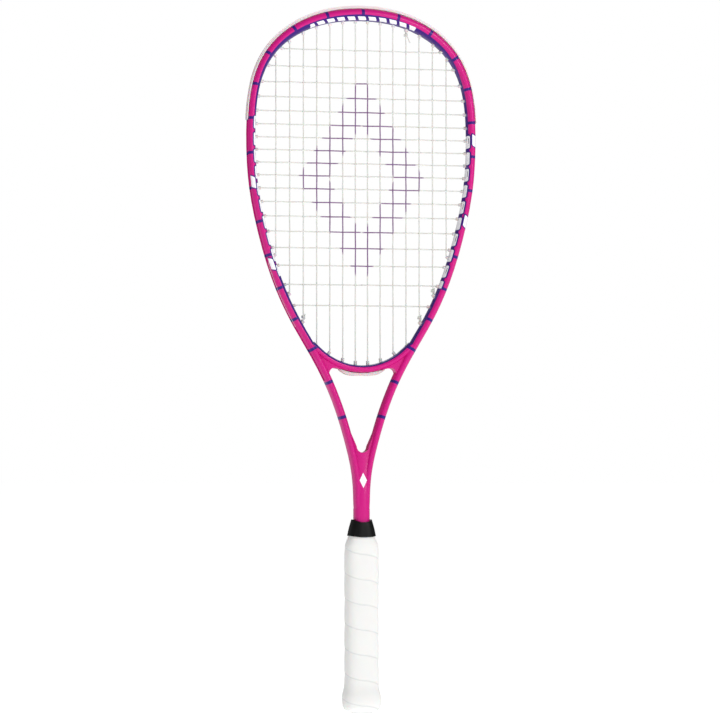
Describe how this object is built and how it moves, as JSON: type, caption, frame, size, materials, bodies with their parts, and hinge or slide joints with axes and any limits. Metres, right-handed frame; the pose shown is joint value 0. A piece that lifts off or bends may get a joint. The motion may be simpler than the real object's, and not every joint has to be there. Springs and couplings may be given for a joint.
{
  "type": "squash racket",
  "caption": "Open-throat squash racket: hollow moulded frame, woven string bed in grommet strips, head guard, wrapped grip and a rubber grip collar that slides up the shaft.",
  "frame": {"origin": "centre of the butt cap's flat end face", "axes": "+Z from the butt to the head, X across the string face, -Y is the front (the side with the markings)"},
  "size_m": [0.2146, 0.0326, 0.648],
  "materials": {
    "frame_paint": "glossy magenta paint with violet bands and white panels over a carbon-composite tube",
    "foam": "moulded foam",
    "clear_nylon": "milky translucent nylon",
    "string": "off-white multifilament with a violet stencil",
    "cap_plastic": "white moulded plastic",
    "staple_steel": "bright wire",
    "grip_white": "white cushioned synthetic grip tape",
    "tape_white": "thin adhesive tape",
    "collar_rubber": "black moulded rubber"
  },
  "bodies": {
    "racket": {"frame": "frame_paint", "bridge_core": "foam", "bumper_guard": "clear_nylon", "grommet_strip_left": "clear_nylon", "grommet_strip_right": "clear_nylon", "grommet_strip_throat": "clear_nylon", "main_string": "string", "cross_string": "string", "handle_pallet": "foam", "shaft_plug": "foam", "butt_cap": "cap_plastic", "butt_cap_staples": "staple_steel", "grip_tape": "grip_white", "finishing_tape": "tape_white"},
    "collar": {"grip_collar": "collar_rubber"}
  },
  "joints": [
    {"name": "collar_slide", "type": "slide", "parent": "racket", "child": "collar", "axis": [0, 0, 1], "range_m": [0, 0.01]}
  ]
}
